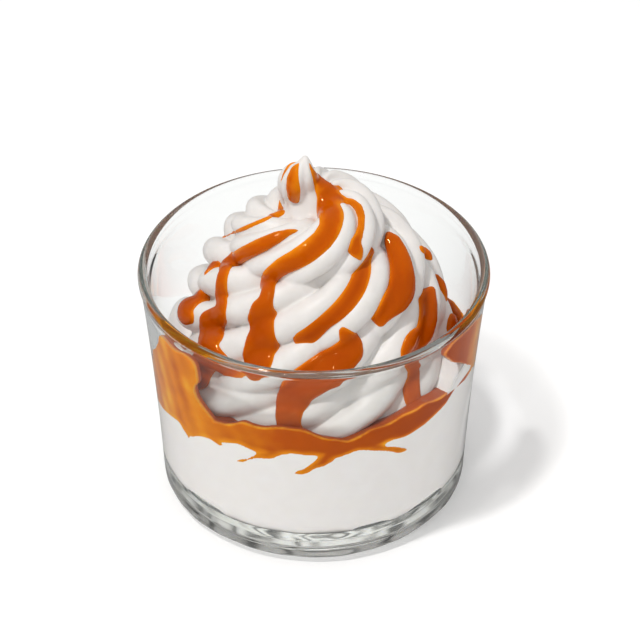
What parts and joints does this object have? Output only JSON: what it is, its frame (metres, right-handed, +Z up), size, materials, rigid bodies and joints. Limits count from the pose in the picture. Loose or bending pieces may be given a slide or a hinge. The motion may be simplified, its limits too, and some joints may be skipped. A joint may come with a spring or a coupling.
{
  "type": "sundae",
  "caption": "Soft-serve sundae in a low glass tumbler: a twisted swirl of ice cream with caramel sauce running down it, over a layer of caramel and ice cream.",
  "frame": {"origin": "centre of the glass's base, on the surface it stands on", "axes": "+Z up along the glass's axis; -Y is the side the picture sees"},
  "size_m": [0.083, 0.083, 0.0927],
  "materials": {
    "glass": "clear, smooth, thick-bottomed pressed glass",
    "ice_cream": "soft-serve ice cream, white, softly satin",
    "caramel": "glossy golden-brown caramel sauce"
  },
  "bodies": {
    "root": {"glass": "glass", "ice_cream_base": "ice_cream", "caramel_layer": "caramel", "swirl": "ice_cream"}
  },
  "joints": []
}
